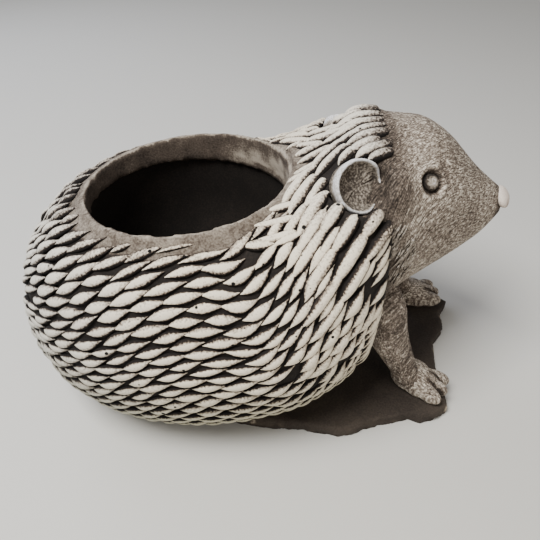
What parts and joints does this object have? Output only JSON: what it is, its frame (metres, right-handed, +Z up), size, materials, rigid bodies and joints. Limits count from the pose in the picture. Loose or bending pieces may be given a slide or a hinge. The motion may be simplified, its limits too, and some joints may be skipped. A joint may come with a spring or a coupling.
{
  "type": "animal planter",
  "caption": "Cast concrete garden planter in the shape of a hedgehog: an open oval pot in its quilled back, a furred face and forelegs on a rough slab.",
  "frame": {"origin": "on the slab's underside, below the pot body", "axes": "+X forward to the nose, +Y to the animal's left, +Z up"},
  "size_m": [0.4172, 0.2688, 0.2578],
  "materials": {
    "coat_concrete": "cast, stained dark and brushed pale on its high spots",
    "face_concrete": "cast, stained brown and lightly dry-brushed",
    "nose_concrete": "cast, rubbed pale",
    "slab_concrete": "cast, stained dark, chipped pale along its edge"
  },
  "bodies": {
    "root": {"base_slab": "slab_concrete", "pot_body": "coat_concrete", "head": "face_concrete", "chest": "face_concrete", "right_ear": "face_concrete", "left_ear": "face_concrete", "right_eye": "face_concrete", "left_eye": "face_concrete", "nose": "nose_concrete", "right_foreleg": "face_concrete", "left_foreleg": "face_concrete", "right_paw": "face_concrete", "left_paw": "face_concrete"}
  },
  "joints": []
}
